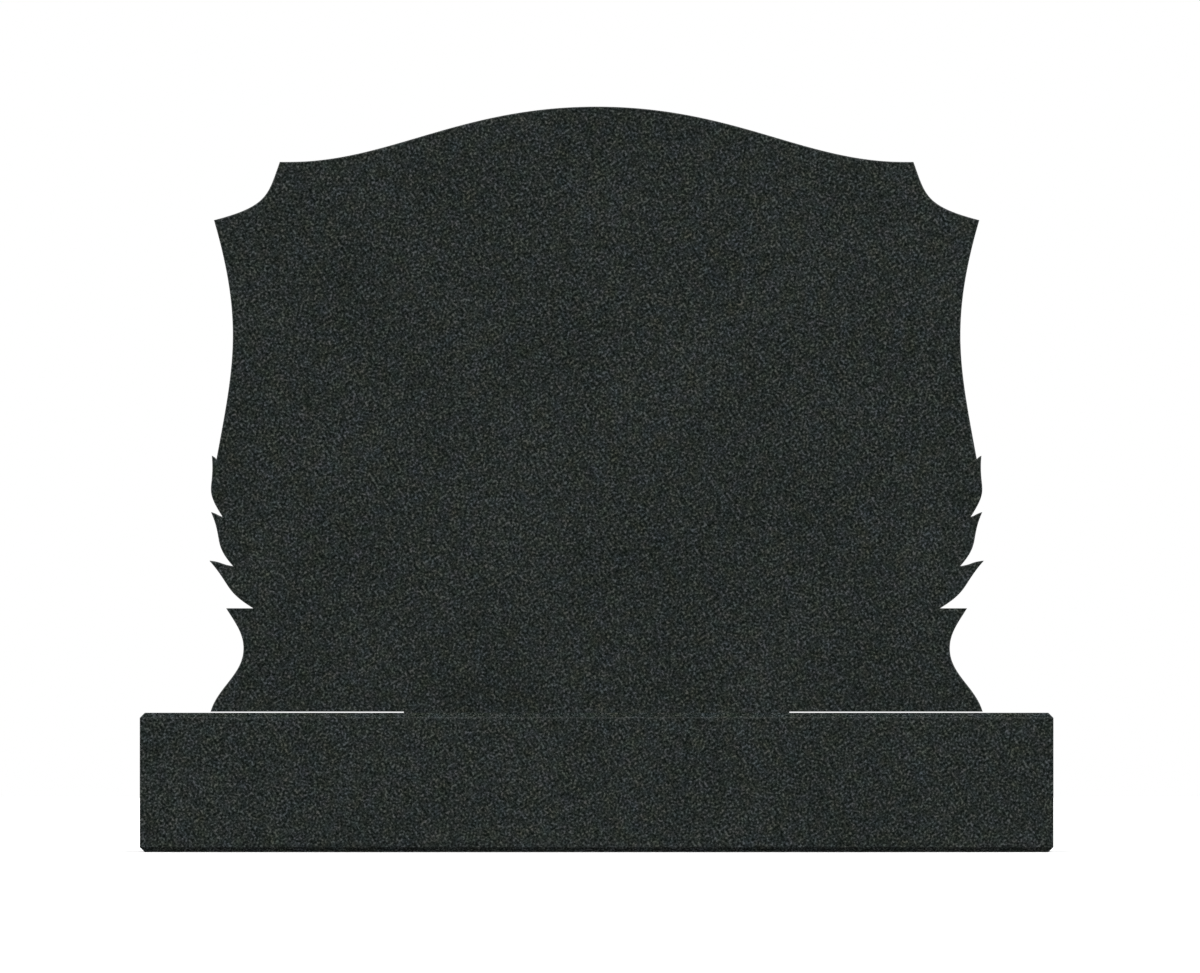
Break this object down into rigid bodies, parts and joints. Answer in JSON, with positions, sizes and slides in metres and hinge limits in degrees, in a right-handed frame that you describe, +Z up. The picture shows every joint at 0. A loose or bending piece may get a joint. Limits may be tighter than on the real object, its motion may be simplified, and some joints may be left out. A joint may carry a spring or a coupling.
{
  "type": "headstone",
  "caption": "Upright granite headstone: a flat tablet with a swept crown, scooped corners and leaf-cut lower edges, standing on a long low base with chamfered edges.",
  "frame": {"origin": "centre of the base's underside, on the ground the headstone stands on", "axes": "+X along the width, to the right as seen by someone facing the front; +Y from the front to the back, so the front faces -Y; +Z up"},
  "size_m": [1.081, 0.305, 0.8833],
  "materials": {
    "tablet_granite": "polished",
    "base_granite": "polished"
  },
  "bodies": {
    "root": {"tablet": "tablet_granite", "base": "base_granite"}
  },
  "joints": []
}
